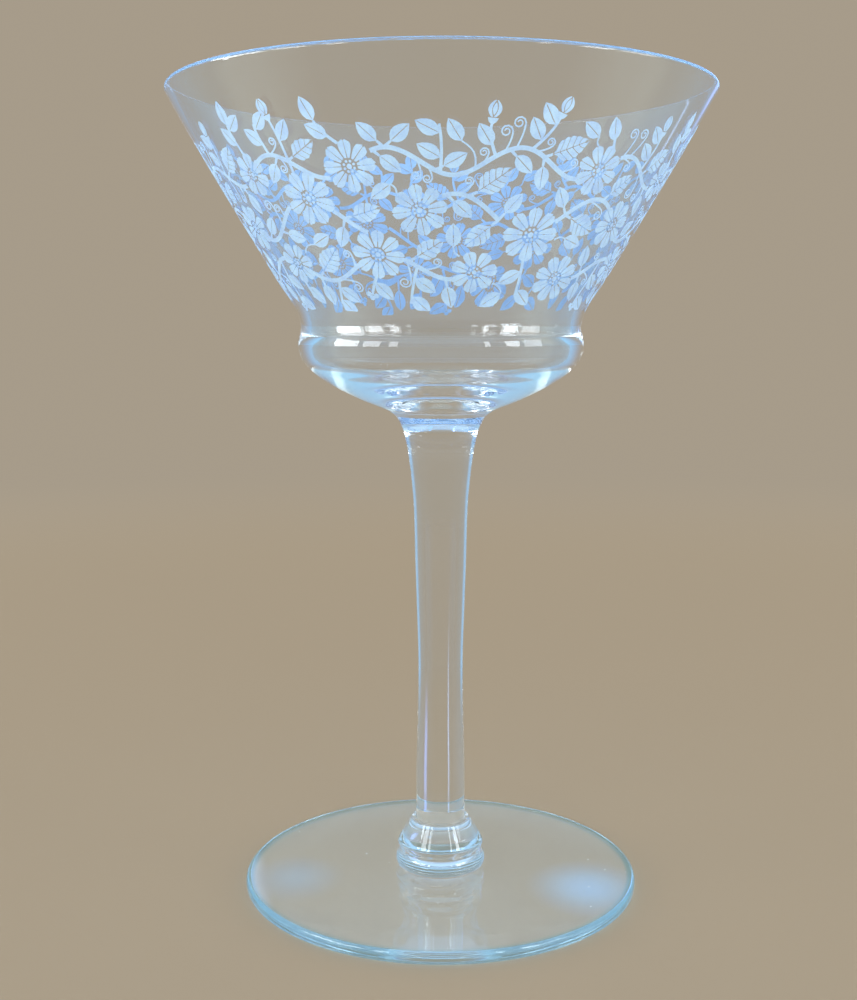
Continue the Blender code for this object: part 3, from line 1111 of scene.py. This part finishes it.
panes = {  # bearing, height, distance, width, height, colour
    "paneBehindRight": (169.2, 0.331, 0.713, 0.120, 0.104, (0.30, 1.5, 3.2)),
    "paneBehindLeft": (-169.5, 0.314, 0.712, 0.096, 0.088, (0.20, 0.65, 1.3)),
    "stripeRight": (151, 0.35, 0.80, 0.18, 0.60, (1.6, 2.6, 6.0)),
    "stripeLeft": (-166, 0.35, 0.80, 0.06, 0.60, (2.0, 3.0, 5.0)),
}


def placeOf(bearing, height, distance):
    turn = math.radians(bearing)
    place = Vector((distance * math.sin(turn), -distance * math.cos(turn), height))
    return place, (lampAim - place).to_track_quat("-Z", "Y").to_euler()


def hangPane(name, place, turn, size, colour, soft):
    bpy.ops.mesh.primitive_plane_add(size=1, location=place, rotation=turn)
    pane = bpy.context.object
    pane.name = name
    pane.scale = (*size, 1)
    material, tree, _ = newMaterial(name)
    if soft:
        onPane = tree.nodes.new("ShaderNodeTexCoord").outputs["Object"]
        edge = 0.5  # half of a plane of size 1
        shown = softRise(tree, lengthOf(tree, onPane), edge, 0.0)
    else:
        path = tree.nodes.new("ShaderNodeLightPath").outputs
        shown = reckon(tree, "MINIMUM", path["Glossy Depth"], 1.0)
    clear = tree.nodes.new("ShaderNodeBsdfTransparent")
    glow = addNode(tree, "ShaderNodeEmission", {"Color": (*colour, 1)})
    mixSurface(tree, shown, clear.outputs["BSDF"], glow.outputs["Emission"])
    material.cycles.emission_sampling = "NONE"
    pane.data.materials.append(material)
    pane.visible_camera = pane.visible_diffuse = pane.visible_shadow = False
    pane.visible_glossy = soft
    pane.visible_transmission = not soft


def hangLamp(name, place, turn, size, glow):
    bpy.ops.object.light_add(type="AREA", location=place, rotation=turn)
    lamp = bpy.context.object
    lamp.name = name
    lamp.data.shape = "RECTANGLE"
    lamp.data.size, lamp.data.size_y = size
    lamp.data.energy = 4 * size[0] * size[1] * glow  # a lamp shows at its glow
    lamp.data.color = lampColour
    lamp.visible_transmission = False
    return lamp


for i, bearing in enumerate(lampValues["bearings"]):
    spotAndTurn = placeOf(bearing, lampValues["height"], lampValues["distance"])
    lamp = hangLamp("lamp_%d" % (i + 1), *spotAndTurn, lampValues["size"], lampValues["glow"])
    lamp.visible_glossy = False
for name, (bearing, height, distance, width, tall, glow) in windows.items():
    spotAndTurn = placeOf(bearing, height, distance)
    lamp = hangLamp(name, *spotAndTurn, (width, tall), glow)
    lamp.visible_diffuse = False
    hangPane(name + "Pane", *spotAndTurn, (width, tall), [c * glow for c in lampColour], False)
for name, (bearing, height, distance, width, tall, colour) in panes.items():
    hangPane(name, *placeOf(bearing, height, distance), (width, tall), colour, True)

world = bpy.data.worlds.new("studio")
bpy.context.scene.world = world
world.use_nodes = True
studio = world.node_tree
path = studio.nodes.new("ShaderNodeLightPath").outputs
around = studio.nodes.new("ShaderNodeTexCoord").outputs["Generated"]
sky = addNode(studio, "ShaderNodeGroup", {"Vector": around, "Mirrored": path["Glossy Depth"]},
              node_tree=roomSky).outputs
inGlass = reckon(studio, "MAXIMUM", path["Is Glossy Ray"], path["Is Transmission Ray"])
shown = reckon(studio, "MULTIPLY", inGlass, sky["Share"])
feed(studio, studio.nodes["Background"], {
    "Color": blend(studio, shown, (*skyValues["plain"], 1), sky["Colour"])})

cameraValues = {"place": (0, -0.2582, 0.1101), "down": 0.1312, "left": 0.00917, "lens": 48.53}
bpy.ops.object.camera_add(
    location=cameraValues["place"],
    rotation=(math.radians(90) - cameraValues["down"], 0, cameraValues["left"]))
camera = bpy.context.object
camera.data.lens = cameraValues["lens"]
scene = bpy.context.scene
scene.camera = camera
scene.view_settings.view_transform = "Standard"
bounces = 64  # light runs far along the foot before it gets out
scene.cycles.max_bounces = scene.cycles.transmission_bounces = bounces
scene.cycles.glossy_bounces = scene.cycles.transparent_max_bounces = bounces
print("stage set")
